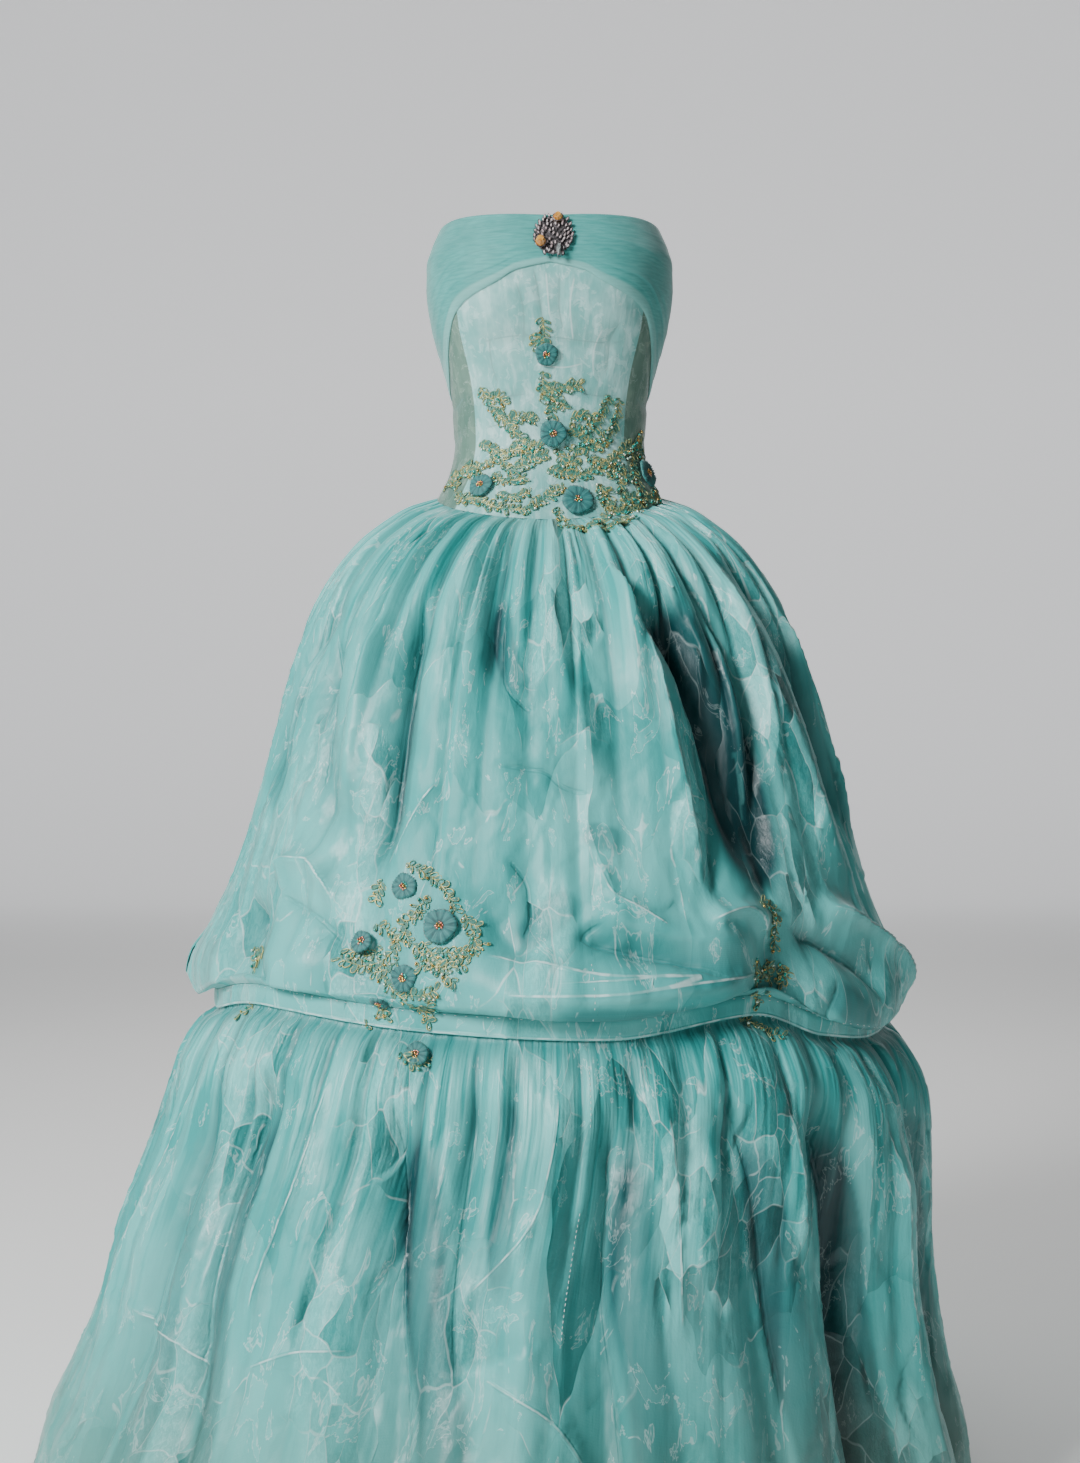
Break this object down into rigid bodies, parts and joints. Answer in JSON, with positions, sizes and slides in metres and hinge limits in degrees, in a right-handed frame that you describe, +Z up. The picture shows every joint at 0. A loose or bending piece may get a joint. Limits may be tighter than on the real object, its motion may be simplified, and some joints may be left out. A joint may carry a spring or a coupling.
{
  "type": "prom dress",
  "caption": "Strapless organza ball gown, filled out and hollow, with a pleated bust drape, ballooned overskirt over a gathered tier, and lace sprays.",
  "frame": {"origin": "middle of the natural waist, where the gown grips the wearer", "axes": "+Z up, the gown's front faces -Y, +X is on the right of someone looking at its front"},
  "size_m": [1.0592, 1.0588, 1.403],
  "materials": {
    "bodice_satin": "pale mint satin under organza, soft sheen",
    "drape_chiffon": "teal chiffon, matt, finely pleated",
    "organza": "crisp aqua organza, foil-like highlights on creases",
    "band_organza": "aqua organza, flat stitched band",
    "lace": "gold-green corded lace with small beads",
    "rosette_chiffon": "dark teal chiffon, radially pleated",
    "zip_tape": "mint zip tape",
    "zip_metal": "satin nickel",
    "brooch_metal": "dark antique silver",
    "amber": "polished amber resin",
    "drop_stone": "polished grey stone"
  },
  "bodies": {
    "gown": {"bodice_front": "bodice_satin", "bodice_side_left": "bodice_satin", "bodice_side_right": "bodice_satin", "bodice_back_left": "bodice_satin", "bodice_back_right": "bodice_satin", "bust_drape_left": "drape_chiffon", "bust_drape_right": "drape_chiffon", "overskirt_front_left": "organza", "overskirt_front_right": "organza", "overskirt_back_right": "organza", "overskirt_back_left": "organza", "tier_front_left": "organza", "tier_front_right": "organza", "tier_back_right": "organza", "tier_back_left": "organza", "hem_band": "band_organza", "lace_front_stem": "lace", "lace_front_centre": "lace", "lace_waist_left": "lace", "lace_waist_centre": "lace", "lace_waist_right": "lace", "lace_pickup_upper": "lace", "lace_pickup_lower": "lace", "lace_pickup_left": "lace", "lace_pickup_right": "lace", "rosette_bodice_top": "rosette_chiffon", "rosette_bodice_middle": "rosette_chiffon", "rosette_waist_centre": "rosette_chiffon", "rosette_waist_left": "rosette_chiffon", "rosette_waist_right": "rosette_chiffon", "rosette_pickup_top": "rosette_chiffon", "rosette_pickup_large": "rosette_chiffon", "rosette_pickup_left": "rosette_chiffon", "rosette_pickup_low": "rosette_chiffon", "rosette_tier_top": "rosette_chiffon", "back_zip": "zip_tape", "zip_slider": "zip_metal", "brooch_setting": "brooch_metal", "brooch_amber_top": "amber", "brooch_amber_side": "amber", "brooch_drop": "drop_stone"},
    "zip_tab": {"zip_pull": "zip_metal"}
  },
  "joints": [
    {"name": "zip_tab_swing", "type": "hinge", "parent": "gown", "child": "zip_tab", "pos_m": [0, 0.09372, 0.226], "axis": [1, 0, 0], "range_deg": [0, 150]}
  ]
}
